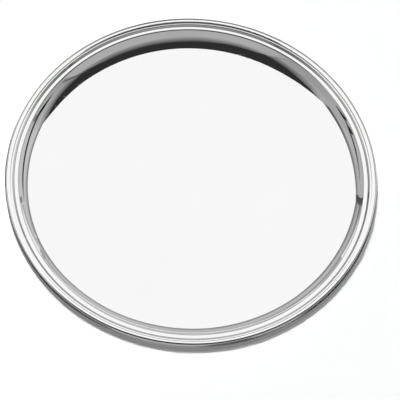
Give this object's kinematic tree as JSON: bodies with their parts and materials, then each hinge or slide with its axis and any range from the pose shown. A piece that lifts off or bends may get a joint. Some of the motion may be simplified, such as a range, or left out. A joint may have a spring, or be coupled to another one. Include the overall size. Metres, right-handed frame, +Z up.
{
  "type": "coin tray",
  "caption": "Shallow round polished silver coin tray with a flat floor, a hollow wall, a narrow ledge and a border of two reeds on a low foot band.",
  "frame": {"origin": "centre of the underside, on the surface that the tray stands on", "axes": "+Z up out of the tray, along its axis of symmetry; X and Y are level and alike"},
  "size_m": [0.14, 0.14, 0.0052],
  "materials": {
    "dish_silver": "silver, mirror polished",
    "border_silver": "silver, mirror polished",
    "band_silver": "silver, polished, a little duller than the dish"
  },
  "bodies": {
    "root": {"dish": "dish_silver", "border": "border_silver", "foot_band": "band_silver"}
  },
  "joints": []
}
